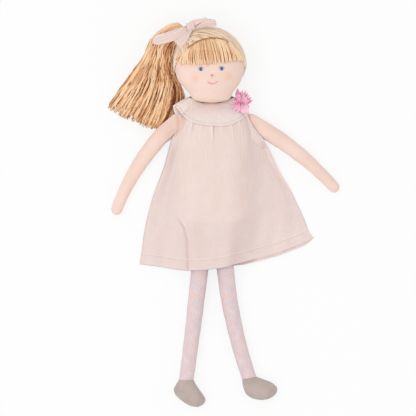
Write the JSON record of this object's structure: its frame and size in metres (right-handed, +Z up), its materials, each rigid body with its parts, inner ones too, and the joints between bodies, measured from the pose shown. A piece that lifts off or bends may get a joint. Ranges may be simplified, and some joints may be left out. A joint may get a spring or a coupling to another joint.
{
  "type": "rag doll",
  "caption": "Stuffed cloth doll lying on its back, with a yarn side ponytail, ribbon bow, gathered linen dress, printed stockings and plain cloth shoes; limbs fold at their seams.",
  "frame": {"origin": "on the floor under the middle of the torso, on the underside of the dress's back panel", "axes": "+Z up out of the doll's chest as it lies on its back, +Y from its feet to its head, +X to its own left"},
  "size_m": [0.2096, 0.3595, 0.0558],
  "materials": {
    "skin_cloth": "matte knitted cotton, pale peach",
    "dress_linen": "plain woven linen, pale pink",
    "stocking_cloth": "woven cotton with a fine lattice print",
    "shoe_felt": "matte suede cloth, taupe",
    "yarn": "twisted wool yarn, honey blond",
    "ribbon": "woven cotton ribbon, pale pink",
    "petal_cloth": "folded cotton, rose pink",
    "eye_thread": "satin stitched thread, blue grey",
    "lip_thread": "stitched thread, soft red",
    "parting_thread": "stitched thread, brown",
    "filling": "loose polyester fibre"
  },
  "bodies": {
    "torso": {"torso_front_cloth": "skin_cloth", "torso_back_cloth": "skin_cloth", "torso_stuffing": "filling", "neck": "skin_cloth", "left_shoulder_tab": "skin_cloth", "right_shoulder_tab": "skin_cloth", "left_hip_tab": "skin_cloth", "right_hip_tab": "skin_cloth", "dress_front_yoke": "dress_linen", "dress_back_yoke": "dress_linen", "dress_front_panel": "dress_linen", "dress_back_panel": "dress_linen", "flower_backing": "petal_cloth", "flower_outer_petals": "petal_cloth", "flower_inner_petals": "petal_cloth", "flower_heart": "petal_cloth"},
    "head": {"head_cloth": "skin_cloth", "head_stuffing": "filling", "left_eye": "eye_thread", "right_eye": "eye_thread", "nose": "lip_thread", "mouth": "lip_thread", "hair_cap": "yarn", "fringe": "yarn", "parting_stitch": "parting_thread", "bow_knot": "ribbon", "bow_left_loop": "ribbon", "bow_right_loop": "ribbon", "bow_tail": "ribbon"},
    "ponytail": {"ponytail": "yarn", "hair_tie": "ribbon"},
    "left_arm": {"left_arm_cloth": "skin_cloth", "left_arm_stuffing": "filling"},
    "right_arm": {"right_arm_cloth": "skin_cloth", "right_arm_stuffing": "filling"},
    "left_leg": {"left_leg_cloth": "stocking_cloth", "left_leg_stuffing": "filling", "left_shoe_cloth": "shoe_felt", "left_shoe_stuffing": "filling"},
    "right_leg": {"right_leg_cloth": "stocking_cloth", "right_leg_stuffing": "filling", "right_shoe_cloth": "shoe_felt", "right_shoe_stuffing": "filling"}
  },
  "joints": [
    {"name": "head_nod", "type": "hinge", "parent": "torso", "child": "head", "pos_m": [-0.0014, 0.0625, 0.012], "axis": [1, 0, 0], "range_deg": [0, 15]},
    {"name": "ponytail_swing", "type": "hinge", "parent": "head", "child": "ponytail", "pos_m": [-0.0308, 0.1221, 0.0279], "axis": [0, 0, -1], "range_deg": [0, 45]},
    {"name": "left_shoulder_lift", "type": "hinge", "parent": "torso", "child": "left_arm", "pos_m": [0.03518, 0.039, 0.0122], "axis": [0, -1, 0], "range_deg": [0, 85]},
    {"name": "right_shoulder_lift", "type": "hinge", "parent": "torso", "child": "right_arm", "pos_m": [-0.03518, 0.039, 0.0122], "axis": [0, 1, 0], "range_deg": [0, 85]},
    {"name": "left_hip_lift", "type": "hinge", "parent": "torso", "child": "left_leg", "pos_m": [0.0083, -0.057, 0.0122], "axis": [-1, 0, 0], "range_deg": [0, 90], "deforming": ["dress_front_panel"]},
    {"name": "right_hip_lift", "type": "hinge", "parent": "torso", "child": "right_leg", "pos_m": [-0.0083, -0.057, 0.0122], "axis": [-1, 0, 0], "range_deg": [0, 90], "deforming": ["dress_front_panel"]}
  ]
}
